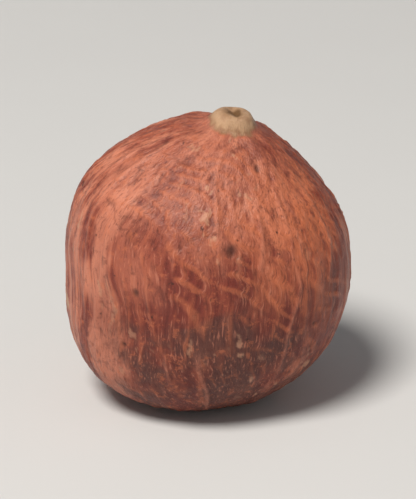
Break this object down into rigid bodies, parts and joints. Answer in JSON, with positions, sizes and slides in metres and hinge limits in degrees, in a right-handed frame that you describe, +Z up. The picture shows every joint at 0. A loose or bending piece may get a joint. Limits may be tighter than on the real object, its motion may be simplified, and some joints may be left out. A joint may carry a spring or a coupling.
{
  "type": "hazelnut",
  "caption": "Shelled raw hazelnut kernel in its brown skin, near-round, with a small pale nib at the tip and a small flat spot it rests on.",
  "frame": {"origin": "on the plane that the kernel rests on, under the middle of its bounding box", "axes": "+Z up, from the flat spot it rests on to the tip; +X to the right, the side the tip mostly leans to; -Y to the front"},
  "size_m": [0.014, 0.0132, 0.015],
  "materials": {
    "skin": "satin"
  },
  "bodies": {
    "root": {"hazelnut_kernel": "skin"}
  },
  "joints": []
}
